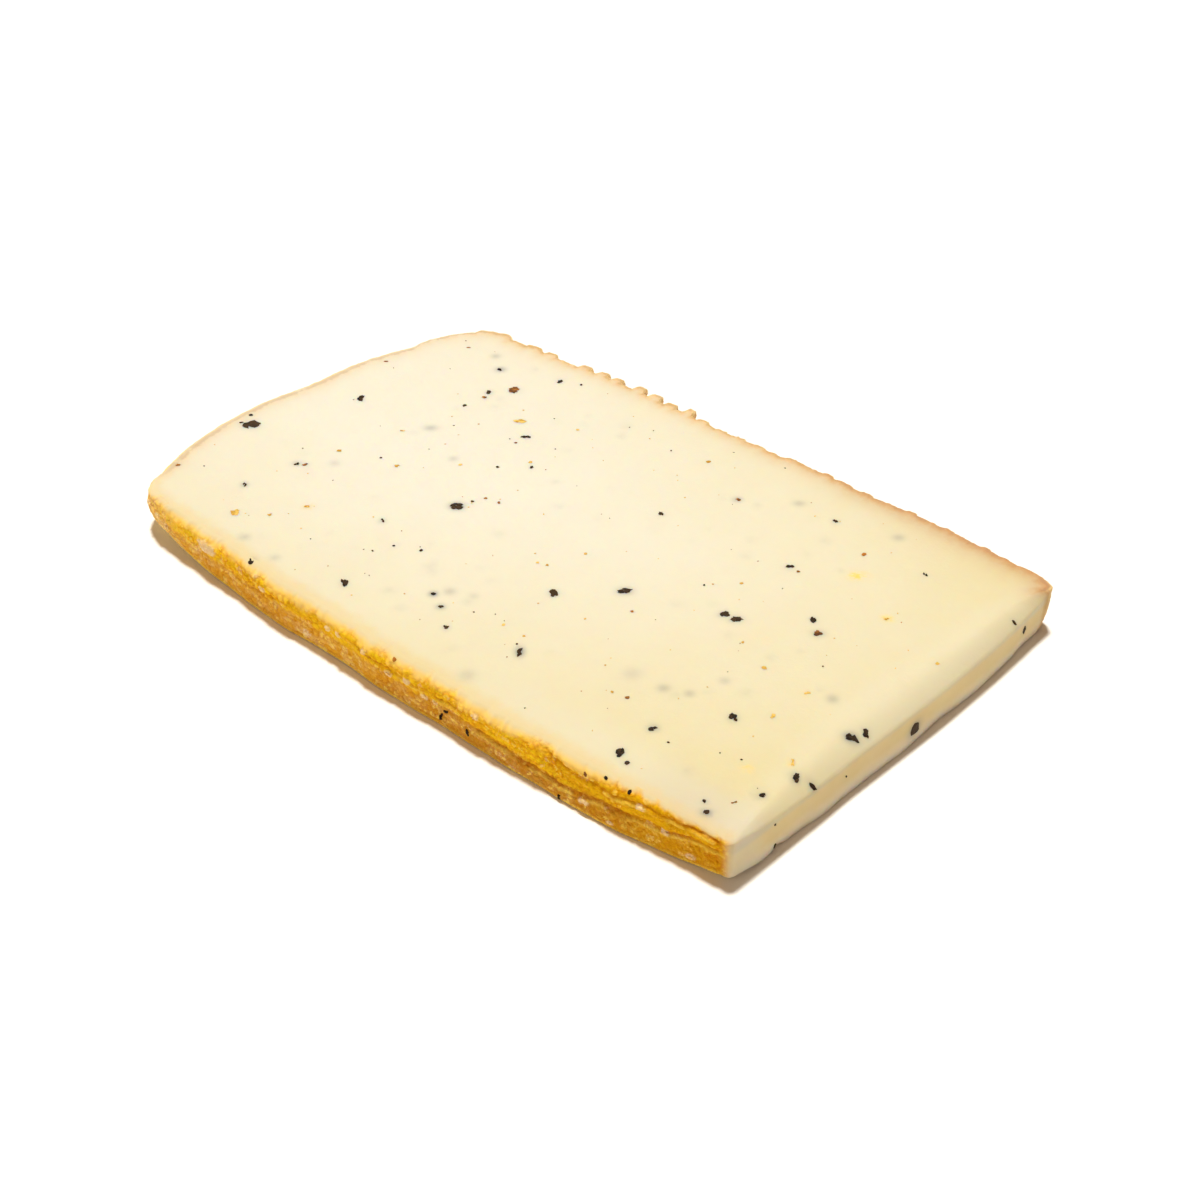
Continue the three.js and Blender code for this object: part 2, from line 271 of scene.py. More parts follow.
def hump(distance, reach):
    """1 at the centre, fading to nothing at about twice the reach."""
    return np.exp(-((distance / reach) ** 2))


def ease(value, start, stop):
    """0 before start, 1 past stop, and a smooth step between."""
    share = np.clip((value - start) / (stop - start), 0, 1)
    return share * share * (3 - 2 * share)


def quarter_round(distance, radius):
    """How far a rounded edge pulls in, at a distance from that edge."""
    left = np.clip(radius - distance, 0, radius)
    return radius - np.sqrt(radius * radius - left * left)


def soft_roll(depth, drop):
    """How far in the face lies where it has rolled down so deep towards the plain cut."""
    share = np.clip(depth / drop, 0, 1)
    return (ROLL_WIDTH + ROLL_WIDTH_PER_DROP * drop) * (1 - np.sqrt(share))


def lumps(along, across, size, seed):
    """Soft random lumps about that size apart, from -1 to 1."""
    across_count, up_count = 97, 89
    table = default_rng(seed).uniform(-1, 1, (across_count, up_count))
    u, v = np.broadcast_arrays(along / size, across / size)
    i = np.floor(u).astype(int)
    j = np.floor(v).astype(int)
    right = ease(u - i, 0, 1)
    up = ease(v - j, 0, 1)

    def corner(side, top):
        return table[(i + side) % across_count, (j + top) % up_count]

    lower = corner(0, 0) * (1 - right) + corner(1, 0) * right
    upper = corner(0, 1) * (1 - right) + corner(1, 1) * right
    return lower * (1 - up) + upper * up


def scales(along, height, seed):
    """Scales in staggered rows. For each point: how far up its scale's dome, from 0 in the gap to 1,
    and that scale's own number, from 0 to 1."""
    rows, columns = 31, 401
    rng = default_rng(seed)
    shifts = rng.uniform(-0.4, 0.4, (2, rows, columns))
    numbers = rng.random((rows, columns))
    u = along / SCALE_LENGTH
    v = height / SCALE_RISE
    nearest = np.full(u.shape, 9.0)
    second = nearest.copy()
    own = np.zeros(u.shape)
    for up in (-1, 0, 1):
        row = np.floor(v).astype(int) + up
        stagger = 0.5 * (row % 2)
        for side in (-1, 0, 1):
            column = np.floor(u - stagger).astype(int) + side
            key = (row % rows, column % columns)
            centre_u = column + stagger + 0.5 + shifts[0][key]
            centre_v = row + 0.5 + shifts[1][key]
            distance = np.hypot(centre_u - u, centre_v - v)
            closer = distance < nearest
            second = np.where(closer, nearest, np.minimum(second, distance))
            own = np.where(closer, numbers[key], own)
            nearest = np.minimum(nearest, distance)
    return ease(second - nearest, 0, 0.45), own


def line_at(line, x):
    """The height of a line drawn through a few x and height points."""
    xs, heights = zip(*line)
    return np.interp(x, xs, heights)


# ---- the outline of the slice

def at(along, across):
    """A plan point, from -1 at the heel to 1 at the cut end and from -1 at the front to 1 at the back."""
    return np.array((PLAN_MIDDLE_X + along * LENGTH / 2, across * WIDTH / 2))


def bezier(controls, share):
    """Points of a Bezier curve of any order."""
    points = [np.outer(np.ones_like(share), control) for control in controls]
    while len(points) > 1:
        points = [a + (b - a) * share[:, None] for a, b in zip(points, points[1:])]
    return points[0]


def even_steps(controls, step):
    """Points spaced evenly along a curve, without its last one, how far along each is, and its length."""
    fine = bezier(controls, np.linspace(0, 1, 500))
    gone = np.concatenate(([0], np.cumsum(np.linalg.norm(np.diff(fine, axis=0), axis=1))))
    wanted = np.linspace(0, gone[-1], round(gone[-1] / step), endpoint=False)
    points = np.column_stack([np.interp(wanted, gone, fine[:, axis]) for axis in (0, 1)])
    return points, wanted, gone[-1]


def outline_stretches():
    """The outline, anticlockwise: controls of each curve, its step, how much rind it has and how amber."""
    front_heel = at(-0.8375, -0.915)
    front_cut = at(0.953, -0.935)
    cut_front = at(0.973, -0.9)
    cut_back = at(0.992, 0.912)
    back_cut = at(0.958, 0.975)
    back_heel = at(-0.641, 0.9)
    heel_back = at(-0.884, 0.6)
    heel_belly = at(-1, -0.375)
    heel_front = at(-0.9375, -0.8)
    return (
        ((front_heel, at(-0.42, -0.995), at(0.33, -1.025), front_cut), FRONT_STEP, 1, 1),
        ((front_cut, at(0.972, -0.935), cut_front), CORNER_STEP, 0.3, 1),
        ((cut_front, at(0.995, -0.45), at(1.006, 0.4), cut_back), CUT_STEP, 0, 0.5),
        ((cut_back, at(0.993, 0.975), back_cut), CORNER_STEP, 0.7, 0.5),
        ((back_cut, at(0.483, 0.995), at(-0.203, 0.945), back_heel), BACK_STEP, 1, 0.5),
        ((back_heel, at(-0.789, 0.9), at(-0.86, 0.788), heel_back), HEEL_STEP, 0.8, 0.3),
        ((heel_back, at(-0.937, 0.315), at(-1, -0.025), heel_belly), HEEL_STEP, 0.6, 0.35),
        ((heel_belly, at(-0.996, -0.575), at(-0.953, -0.712), heel_front), HEEL_STEP, 0.6, 0.5),
        ((heel_front, at(-0.919, -0.9), front_heel), CORNER_STEP, 0.8, 1),
    )


def smoothed(values, reach):
    """A ring of values, each the mean of its neighbours."""
    kernel = hump(np.arange(-2 * reach, 2 * reach + 1), reach)
    wrapped = np.concatenate((values[-2 * reach:], values, values[:2 * reach]))
    return np.convolve(wrapped, kernel / kernel.sum(), "valid")


def spread(places, x, y):
    """What a list of places gives to each point round them: one row for each of the places' values."""
    total = 0
    for place_x, place_y, reach, *values in places:
        total = total + np.outer(values, hump(np.hypot(x - place_x, y - place_y), reach))
    return total


def make_outline():
    """Every column of the wall: its plan point, the way in, and what the rind is like there."""
    points, along, rind, amber = [], [], [], []
    start = 0
    for controls, step, rind_here, amber_here in outline_stretches():
        stretch, gone, length = even_steps(controls, step)
        points.append(stretch)
        along.append(start + gone)
        rind.append(np.full(len(gone), float(rind_here)))
        amber.append(np.full(len(gone), float(amber_here)))
        start += length
    points, along, rind, amber = (np.concatenate(part) for part in (points, along, rind, amber))
    x, y = points.T
    spine = np.column_stack((np.clip(x, -SPINE_HALF, SPINE_HALF), np.zeros(len(x))))
    inward = spine - points
    inward /= np.linalg.norm(inward, axis=1)[:, None]
    lift, lean = spread(HOLLOWS, x, y)
    swell = spread(SWELLS, x, y)[0]
    front = ease(-y, WIDTH / 5, WIDTH / 3) * (1 - ease(x, *FRONT_ENDS))
    back = ease(y, WIDTH / 5, WIDTH / 3) * (1 - ease(x, *BACK_ENDS))
    shoulder = front * line_at(SHOULDER_RISE, x)
    rind_corner = (y < -WIDTH / 3) * (1 - ease(x, *FRONT_RIND_ENDS))
    rind = smoothed(rind, 3)
    foot_rounding = CUT_FOOT_ROUNDING + (FOOT_ROUNDING - CUT_FOOT_ROUNDING) * rind * (1 - front)
    foot_rounding = foot_rounding + (FRONT_FOOT_ROUNDING - CUT_FOOT_ROUNDING) * front
    return SimpleNamespace(
        points=points, along=along, inward=inward, x=x, y=y, lift=lift, lean=lean, swell=swell, rind=rind,
        front=front, back=back, amber=smoothed(amber, 14),
        skin=smoothed(np.maximum(ease(rind, 0.35, 0.75), rind_corner), 2),
        shoulder=shoulder, rounding=RIM_ROUNDING + SHOULDER * shoulder, foot_rounding=foot_rounding,
        drop=line_at(ROLL_DROPS, y),
    )


# ---- the wall

def wall_levels():
    """Heights of the rows from 0 to 1, closer together near both edges."""
    share = np.linspace(0, 1, WALL_ROWS)
    return share - ROWS_DRAWN_TO_EDGES * np.sin(2 * np.pi * share) / (2 * np.pi)


def front_creases(outline, z):
    """How deep the creases cut, how far in one each point is, and how high on the ridge below one."""
    depth = np.zeros(z.shape)
    crease = np.zeros(z.shape)
    ridge = np.zeros(z.shape)
    for number, (deep, wide, line) in enumerate(CREASES):
        first, last = line[0][0], line[-1][0]
        begun = ease(outline.x, first - 2, first + 6)
        ended = ease(outline.x, last - 1, last + 2)
        here = outline.front * begun * (1 - ended)
        height = line_at(line, outline.x) + CREASE_WANDER * lumps(outline.along, 0, 2.3, 40 + number)
        strength = 0.8 + 0.3 * lumps(outline.along, 0, 3.4, 50 + number)
        inside = here * strength * hump(z - height, wide)
        crease = np.maximum(crease, inside)
        depth += deep * inside
        broken = ease(lumps(outline.along, 0, 2.6, 60 + number), -0.4, 0.3)
        ridge = np.maximum(ridge, here * broken * hump(z - height + RIDGE_BELOW, RIDGE_WIDTH))
    return depth, crease, ridge


def basket_knobs(outline, z):
    """How far the staggered knobs along the back rind stand out."""
    relief = np.zeros(z.shape)
    for x, height, half in KNOBS:
        for row in range(KNOB_ROWS):
            across = half + KNOB_BEVEL - np.abs(outline.x - x - KNOB_STAGGER * (row % 2))
            up = KNOB_HALF_RISE - np.abs(z - KNOB_TOP + row * KNOB_ROW)
            relief = np.maximum(relief, height * ease(across, 0, KNOB_BEVEL) * ease(up, 0, KNOB_SLOPE))
    return outline.back * relief


def dry_plates(outline, z):
    """How far up a dry plate of the front rind each point is, from 0 to 1."""
    dry = np.zeros(z.shape)
    wobble = 0.22 * lumps(outline.along, z, 0.9, 19) + 0.12 * lumps(outline.along, z, 0.4, 20)
    for x, height, length, rise in RIND_PLATES:
        away = np.hypot((outline.x - x) / (0.5 * length), (z - height) / (0.5 * rise)) + wobble
        dry = np.maximum(dry, outline.front * (1 - ease(away, 0.75, 1.1)))
    return dry


def wall_form(outline, z):
    """How far the wall stands out of the plan outline, before any print or crease."""
    level = z / THICKNESS
    shape = outline.swell + 0 * z
    for reach, length in WANDERS:
        shape += reach * outline.rind * np.sin(2 * np.pi * outline.along / length)
    lip_share = outline.front * hump(outline.x - LIP_AT, LIP_REACH)
    shape += LIP * lip_share * hump(level - 0.15, 0.3)
    shape += BELLY * ease(-outline.x, -BELLY_FROM, -BELLY_TO) * hump(level - 0.55, 0.3)
    shape += SWELL * outline.back * outline.rind * hump(level - 0.75, 0.22)
    shape -= (UNDERCUT * (1 - lip_share) + outline.lean) * (1 - level) ** 2.5
    roll = soft_roll(THICKNESS - z, outline.drop)
    shape -= roll + (quarter_round(THICKNESS - z, outline.rounding) - roll) * outline.rind
    return shape - quarter_round(z - outline.lift, outline.foot_rounding)


def wall_relief(outline, z):
    """How far the finished wall stands out of the plan outline, with the marks that colour it."""
    def lumpy(size, seed, flat=1):
        return lumps(outline.along, z * flat, size, seed)

    shape = wall_form(outline, z)
    dome, own = scales(outline.along + 0.5 * lumpy(2.3, 11), z + 0.4 * lumpy(2.6, 12), 13)
    patchy = 0.6 + 0.4 * lumpy(6, 14)
    above_foot = ease(z - outline.lift, 0.2, 1.1)
    below_rim = 1 - 0.65 * ease(z, THICKNESS - 1.7, THICKNESS - 0.4)
    rough = outline.rind * above_foot * below_rim
    split = line_at(BAND_SPLIT, outline.x)
    upper = ease(z + 0.5 * lumpy(1.8, 18), split - 0.4, split + 0.6)
    shape += SCALE_RELIEF * rough * patchy * (dome - 0.6 + 0.5 * (own - 0.5)) * (1 - 0.45 * upper)
    shape += STREAK_RELIEF * rough * (0.4 + upper) * lumpy(2.4, 15, 2.4)
    shape += rough * (LUMP_RELIEF * lumpy(2.2, 16) + GRAIN_RELIEF * lumpy(0.7, 17))
    shape += CUT_RELIEF * (1 - outline.rind) * lumpy(9, 27, 1.6)
    shape += CUT_FOOT_RELIEF * (1 - outline.rind) * (1 - z / THICKNESS) ** 2 * lumpy(4.5, 34, 0)
    ragged = lumpy(1.3, 28, 0) + 0.6 * lumpy(0.55, 29, 0)
    shape += RIM_RELIEF * outline.rind * ease(z, THICKNESS - 2.4, THICKNESS - 0.5) * ragged

    depth, crease, ridge = front_creases(outline, z)
    dry = dry_plates(outline, z)
    foot_line = outline.front * hump(z - outline.lift - FOOT_LINE, FOOT_LINE_WIDTH)
    shape += basket_knobs(outline, z) + RIDGE_HEIGHT * ridge - depth
    shape += FOOT_LINE_HEIGHT * foot_line + DRY_PLATE_RELIEF * dry
    notch_y, notch_width, notch_height = NOTCH
    cut_end = (1 - outline.rind) * (outline.x > 0)
    shape -= NOTCH_DEPTH * cut_end * hump(outline.y - notch_y, notch_width) * hump(z, notch_height)

    bare = 1 - outline.front
    torn = 0.6 * lumpy(1.7, 30) + 0.15 * lumpy(0.6, 32)
    worn_wider = outline.shoulder * (1 - ease(outline.x, 36, 50))
    worn = ease((THICKNESS - z + torn) / (1 + worn_wider), 0.1, 0.9)
    marks = {
        "skin": outline.skin * (bare * ease(THICKNESS - z, 0.02, 0.25) + outline.front * worn),
        # Gold along the top of the front rind, partly a painted glow of light there.
        "gilt": outline.skin * outline.front * ease(THICKNESS - z, 0.08, 0.8),
        "crack": np.clip((1 - dome) * patchy * above_foot, 0, 1),
        "crease": crease,
        "own": own,
        "ridge": ridge,
        "foot": foot_line,
        "dry": dry,
        "upper": upper,
        "height": z,
    }
    return shape, marks


def make_wall(outline):
    """The wall as a grid of points, rows up and columns round."""
    levels = wall_levels()[:, None]
    z = outline.lift + (THICKNESS - outline.lift) * levels
    shape, marks = wall_relief(outline, z)
    return np.dstack((outline.points - outline.inward * shape[..., None], z)), marks


# ---- the cut face and the base

def near(points, tree):
    """For plan points, the distance to the nearest point of a tree and that point's number."""
    found = [tree.find((x, y, 0)) for x, y in points]
    return np.array([hit[2] for hit in found]), np.array([hit[1] for hit in found])


def tree_of(points, wanted):
    tree = KDTree(len(wanted))
    for number in wanted:
        tree.insert((*points[number], 0), number)
    tree.balance()
    return tree


def chip_axes():
    """The two directions that chips on the cut face lie in."""
    across = np.array((cos(CHIP_LIE), sin(CHIP_LIE)))
    return across, np.array((-across[1], across[0]))


def spots_at(points, spots, spread, extra):
    """The strongest of some soft oval spots at each plan point."""
    across, along = chip_axes()
    strongest = np.zeros(len(points))
    for x, y, width, depth, strength in spots:
        if strength:
            away = points - (x, y) - CHIPS_FROM
            u = away @ across / (width * spread + extra)
            v = away @ along / (depth * spread + extra)
            strongest = np.maximum(strongest, strength * hump(np.hypot(u, v), 1))
    return strongest


def faint_shades():
    """Seasoning that shows faintly through the paste, scattered at random."""
    rng = default_rng(33)
    spots = []
    for _ in range(FAINT_SHADES):
        x, y = (rng.uniform(-half, half) for half in FAINT_SHADES_WITHIN)
        width, depth = rng.uniform(0.3, 1.4, 2)
        spots.append((x, y, width, depth, rng.uniform(0.05, 0.22)))
    return tuple(spots)


def face_height(points):
    """How the cut face rolls, and dips round its chips, above the plane of the cut."""
    x, y = points.T
    roll = 0.07 * lumps(x, y, 21, 21) + 0.04 * lumps(x, y, 7, 22) + 0.012 * lumps(x, y, 2.1, 23)
    return roll - 0.05 * spots_at(points, BLACK_CHIPS + BROWN_CHIPS, 0.5, 0.5)


def grid(xs, ys):
    """Plan points at every crossing of some xs and ys."""
    return np.stack(np.meshgrid(xs, ys), -1).reshape(-1, 2)


def plan_grid(step):
    """A square grid of plan points over the whole slice."""
    return grid(*(np.arange(LOWEST[axis], HIGHEST[axis], step) for axis in (0, 1)))


def face_points(outline, rim):
    """Points for the cut face: rings inside the rim, a loose grid, and a close one round each chip."""
    rng = default_rng(31)
    rings = [(rim + outline.inward * inset)[::every] for inset, every in RIM_RINGS]
    loose = plan_grid(FACE_GRID)
    loose = loose + rng.uniform(-0.3, 0.3, loose.shape) * FACE_GRID
    close = []
    for x, y, width, depth, strength in BLACK_CHIPS + BROWN_CHIPS + SUNKEN_SHADES + SMEARS:
        if strength > 0:
            reach = 0.7 * max(width, depth) + 1.0
            count = int(reach / CHIP_GRID)
            steps = np.arange(-count, count + 1) * CHIP_GRID
            patch = grid(steps, steps)
            patch = patch[np.hypot(*patch.T) < reach]
            scatter = rng.uniform(-0.3, 0.3, patch.shape) * CHIP_GRID
            close.append(patch + (x, y) + CHIPS_FROM + scatter)
    return rings, np.concatenate([loose] + close)


def thinned(points, apart):
    """Points with those too close to an earlier one left out."""
    kept = {}
    for point in points:
        kept.setdefault((round(point[0] / apart), round(point[1] / apart)), point)
    return np.array(list(kept.values()))


def inside_by(points, ring, inward, least):
    """The points that lie at least so far inside a ring."""
    distance, number = near(points, tree_of(ring, range(len(ring))))
    facing = np.einsum("ij,ij->i", points - ring[number], inward[number]) > 0
    return points[facing & (distance > least)]


def filled(ring, inner):
    """Triangles that fill a ring, through the inner points. Their numbers start with the ring's."""
    points = [Vector(point) for point in np.concatenate((ring, inner))]
    made = delaunay_2d_cdt(points, [], [list(range(len(ring)))], 1, 1e-7)
    source = [numbers[0] for numbers in made[3]]
    return [[source[corner] for corner in face] for face in made[2]]


def end_shades(wall, cut):
    """The shade that the chips of the plain cut cast in the paste beside them."""
    strongest = np.zeros(wall.shape[:2])
    for y, z, width, height, strength in END_CHIPS:
        u = (wall[..., 1] - y) / (0.4 * width + 0.5)
        v = (wall[..., 2] - z) / (0.4 * height + 0.5)
        strongest = np.maximum(strongest, strength * hump(np.hypot(u, v), 1))
    return strongest * cut


def slice_marks(outline, wall, marks, top, below):
    """The marks of the wall, the cut face and the points below, one after another."""
    rows, columns = wall.shape[:2]
    rim = wall[-1, :, :2]
    is_skin = outline.skin > 0.5
    rind_tree = tree_of(rim, np.flatnonzero(is_skin))
    cut_tree = tree_of(rim, np.flatnonzero(~is_skin))
    top_under, top_column = near(top, rind_tree)
    column_under, column_column = near(rim, rind_tree)
    plan = wall[..., :2].reshape(-1, 2)
    cut = (1 - outline.skin) * np.ones((rows, 1))
    chips = BLACK_CHIPS + BROWN_CHIPS + SUNKEN_SHADES + faint_shades()
    roll_shades = spots_at(plan, chips, 0.35, 0.45).reshape(rows, columns) * ease(wall[..., 2], 4, 6)
    wall_marks = {
        **marks,
        "under": column_under + 0 * cut,
        "edge": near(rim, cut_tree)[0] + 0 * cut,
        "amber": outline.amber[column_column] + 0 * cut,
        "shade": np.maximum(roll_shades * cut, end_shades(wall, cut)),
    }
    top_marks = {
        "under": top_under,
        "amber": outline.amber[top_column],
        "edge": near(top, cut_tree)[0],
        "shade": spots_at(top, chips, 0.35, 0.45),
        "smear": spots_at(top, SMEARS, 0.45, 0.15),
        "height": np.full(len(top), THICKNESS),
    }
    base_marks = {"under": np.full(below, 9.0), "edge": np.full(below, 9.0)}
    laid = {}
    for name in sorted({*wall_marks, *top_marks}):
        on_wall = wall_marks[name].reshape(-1) if name in wall_marks else np.zeros(rows * columns)
        on_top = top_marks.get(name, np.zeros(len(top)))
        laid[name] = np.concatenate((on_wall, on_top, base_marks.get(name, np.zeros(below))))
    return laid


def make_slice(outline, paste, rind):
    """The whole slice as one closed mesh, with the marks that its finishes read."""
    wall, marks = make_wall(outline)
    rows, columns = wall.shape[:2]
    numbers = np.arange(rows * columns).reshape(rows, columns)
    ahead = np.roll(numbers, -1, axis=1)
    faces = np.stack((numbers[:-1], ahead[:-1], ahead[1:], numbers[1:]), -1).reshape(-1, 4).tolist()
    finish_numbers = [1 if skin > 0.02 else 0 for skin in np.tile(outline.skin, rows - 1)]

    rim = wall[-1, :, :2]
    rings, inner = face_points(outline, rim)
    inner = inside_by(thinned(inner, CHIP_GRID * 0.8), rim, outline.inward, FACE_GRID_FROM_RIM)
    top = np.concatenate(rings + [inner])
    first_rim = (rows - 1) * columns
    faces += [[first_rim + corner for corner in face] for face in filled(rim, top)]

    inset = BASE_INSET + BASE_INSET_PER_LIFT * outline.lift
    foot = outline.points + outline.inward * inset[:, None]
    first_foot = rows * columns + len(top)
    foot_numbers = first_foot + np.arange(columns)
    foot_ahead = np.roll(foot_numbers, -1)
    faces += np.stack((foot_numbers, foot_ahead, ahead[0], numbers[0]), -1).tolist()
    base = inside_by(plan_grid(BASE_GRID), foot, outline.inward, BASE_GRID / 2)
    faces += [[first_foot + corner for corner in reversed(face)] for face in filled(foot, base)]
    finish_numbers += [0] * (len(faces) - len(finish_numbers))

    to_rim = near(top, tree_of(rim, range(columns)))[0]
    top_z = THICKNESS + ease(to_rim, 0.2, 3) * face_height(top)
    points = np.concatenate((
        wall.reshape(-1, 3),
        np.column_stack((top, top_z)),
        np.column_stack((foot, np.zeros(columns))),
        np.column_stack((base, np.zeros(len(base)))),
    ))
    laid = slice_marks(outline, wall, marks, top, len(foot) + len(base))
    body = mesh_piece("cheese_body", points, faces, (paste, rind), laid, finish_numbers)
    return body, BVHTree.FromPolygons(points.tolist(), faces), rim


# ---- pieces

def mesh_piece(name, points, faces, finishes, marks, finish_numbers=None, smooth=True):
    """A mesh object from points in millimetres, with a number on every point for each mark."""
    mesh = bpy.data.meshes.new(name)
    mesh.from_pydata((np.asarray(points) * MM).tolist(), [], faces)
    for finish in finishes:
        mesh.materials.append(finish)
    if finish_numbers is not None:
        mesh.polygons.foreach_set("material_index", finish_numbers)
    mesh.polygons.foreach_set("use_smooth", [smooth] * len(mesh.polygons))
    for mark, values in marks.items():
        layer = mesh.attributes.new(mark, "FLOAT", "POINT")
        layer.data.foreach_set("value", np.ascontiguousarray(values, dtype=np.float32))
    mesh.update()
    piece = bpy.data.objects.new(name, mesh)
    bpy.context.scene.collection.objects.link(piece)
    return piece


def settle(piece):
    """Fixes a finished piece to the cheese's body."""
    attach(piece, "root")


class Place:
    """A spot on a surface: a point, two directions along the surface and the way out of it."""

    def __init__(self, point, right, out):
        self.point = np.array(point, float)
        self.out = np.array(out, float)
        right = np.array(right, float)
        right -= self.out * (right @ self.out)
        self.right = right / np.linalg.norm(right)
        self.up = np.cross(self.out, self.right)

    def at(self, u, v, height):
        return self.point + self.right * u + self.up * v + self.out * height

    def moved(self, u, v):
        return Place(self.at(u, v, 0), self.right, self.out)


def place_towards(surface, start, way, right):
    """The place where a straight line meets the slice."""
    point, out = surface.ray_cast(Vector(start), Vector(way))[:2]
    return Place(point, right, out if out.dot(Vector(way)) < 0 else -out)


def on_face(surface, x, y):
    across = chip_axes()[0]
    x, y = CHIPS_FROM + (x, y)
    return place_towards(surface, (x, y, 3 * THICKNESS), (0, 0, -1), (*across, 0))


def on_front(surface, x, z):
    return place_towards(surface, (x, -LENGTH, z), (0, 1, 0), (1, 0, 0))


def on_end(surface, y, z):
    return place_towards(surface, (LENGTH, y, z), (-1, 0, 0), (0, 1, 0))


class Heap:
    """Chips gathered into one mesh, each with its own tone."""

    def __init__(self, seed):
        self.rng = default_rng(seed)
        self.points = []
        self.faces = []
        self.tones = []

    def chip(self, place, width, depth, proud, sides=9, jag=0.3, turn=0.0):
        """One flat, jagged chip, sunk into the surface at a place and standing a little proud."""
        angles = np.linspace(0, 2 * np.pi, sides, endpoint=False) + self.rng.uniform(-0.15, 0.15, sides)
        radii = 1 + self.rng.uniform(-jag, jag, sides)
        first = len(self.points)
        tone = self.rng.random()
        rows = ((1.0, -0.3), (0.94, 0.5 * proud), (0.5, proud))
        for share, height in rows:
            for angle, radius in zip(angles, radii):
                u = 0.5 * width * share * radius * cos(angle)
                v = 0.5 * depth * share * radius * sin(angle)
                turned = (u * cos(turn) - v * sin(turn), u * sin(turn) + v * cos(turn))
                lift = height * (1 + self.rng.uniform(-0.5, 0.5) * (height > 0))
                self.points.append(place.at(*turned, lift))
                self.tones.append(tone)
        self.points.append(place.at(0, 0, proud * 0.9))
        self.tones.append(tone)
        for row in range(len(rows) - 1):
            for side in range(sides):
                a = first + row * sides + side
                b = first + row * sides + (side + 1) % sides
                self.faces.append([a, b, b + sides, a + sides])
        last = first + (len(rows) - 1) * sides
        crown = len(self.points) - 1
        self.faces += [[last + side, last + (side + 1) % sides, crown] for side in range(sides)]

    def cluster(self, place, width, depth, proud):
        """A chip, made of several overlapping ones where it is large."""
        largest = max(width, depth)
        if largest < 0.9:
            self.chip(place, width, depth, proud, sides=7)
            return
        count = 3 if largest < 1.6 else 6
        for _ in range(count):
            u = self.rng.uniform(-0.28, 0.28) * width
            v = self.rng.uniform(-0.28, 0.28) * depth
            size = self.rng.uniform(0.4, 0.66)
            turn = self.rng.uniform(-0.6, 0.6)
            self.chip(place.moved(u, v), width * size, depth * size, proud, sides=8, jag=0.38, turn=turn)

    def specks(self, surface, spots):
        """Tiny chips on the cut face."""
        for x, y in spots:
            width, depth = self.rng.uniform(*SPECK_SIZE, 2)
            turn = self.rng.uniform(0, pi)
            self.chip(on_face(surface, x, y), width, depth, 0.04, sides=5, turn=turn)

    def made(self, name, finish, slot):
        tones = {"tone": np.array(self.tones)}
        settle(mesh_piece(name, self.points, self.faces, (finish,), tones, smooth=False))


def speck_spots(outline, rim):
    """Where the specks of each colour lie."""
    rng = default_rng(71)
    spots = {}
    for name, count in SPECKS.items():
        points = rng.uniform(LOWEST[:2], HIGHEST[:2], (2 * count, 2))
        spots[name] = inside_by(points, rim, outline.inward, SPECKS_FROM_RIM)[:count] - CHIPS_FROM
    return spots


def face_heap(surface, seed, chips, proud):
    """A heap that starts with the larger chips of the cut face."""
    heap = Heap(seed)
    for x, y, width, depth, *_ in chips:
        heap.cluster(on_face(surface, x, y), width, depth, proud)
    return heap


def make_black_chips(surface, specks, finish):
    heap = face_heap(surface, 101, BLACK_CHIPS, 0.1)
    for y, z, width, height, _ in END_CHIPS:
        heap.chip(on_end(surface, y, z), width, height, 0.1, sides=11, jag=0.2)
    for x, z, width, height in RIND_CHIPS:
        heap.cluster(on_front(surface, x, z), width, height, 0.2)
    heap.specks(surface, specks)
    heap.made("black_chips", finish, "black_fleck")


def make_face_chips(surface, specks, finish, seed, chips, proud, name, slot):
    """Chips of one colour that lie on the cut face only."""
    heap = face_heap(surface, seed, chips, proud)
    heap.specks(surface, specks)
    heap.made(name, finish, slot)


def make_rind_flakes(surface, finish):
    """Thin dry flakes that stand off the smaller plates of the rind."""
    heap = Heap(104)
    for x, z, length, rise in RIND_PLATES[1:]:
        place = on_front(surface, x + 0.1 * length, z)
        heap.chip(place, 0.55 * length, 0.6 * rise, 0.12, sides=11, jag=0.25)
    heap.made("rind_flakes", finish, "rind")


# ---- finishes

class Dye:
    """A value on its way through a finish. Arithmetic on it adds Math nodes."""

    def __init__(self, finish, socket):
        self.finish = finish
        self.socket = socket

    def maths(self, operation, first, second):
        return self.finish.node("ShaderNodeMath", {"operation": operation}, {0: first, 1: second})

    def __add__(self, other):
        return self.maths("ADD", self, other)

    __radd__ = __add__

    def __sub__(self, other):
        return self.maths("SUBTRACT", self, other)

    def __rsub__(self, other):
        return self.maths("SUBTRACT", other, self)

    def __mul__(self, other):
        return self.maths("MULTIPLY", self, other)

    __rmul__ = __mul__

    def fading(self, reach):
        """1 at nothing, falling away over a reach."""
        return self.maths("EXPONENT", self * (-1 / reach), 0)

    def eased(self, start, stop):
        """0 before start, 1 past stop, and a smooth step between."""
        settings = {"interpolation_type": "SMOOTHSTEP"}
        return self.finish.node("ShaderNodeMapRange", settings, {0: self, 1: start, 2: stop, 3: 0, 4: 1})


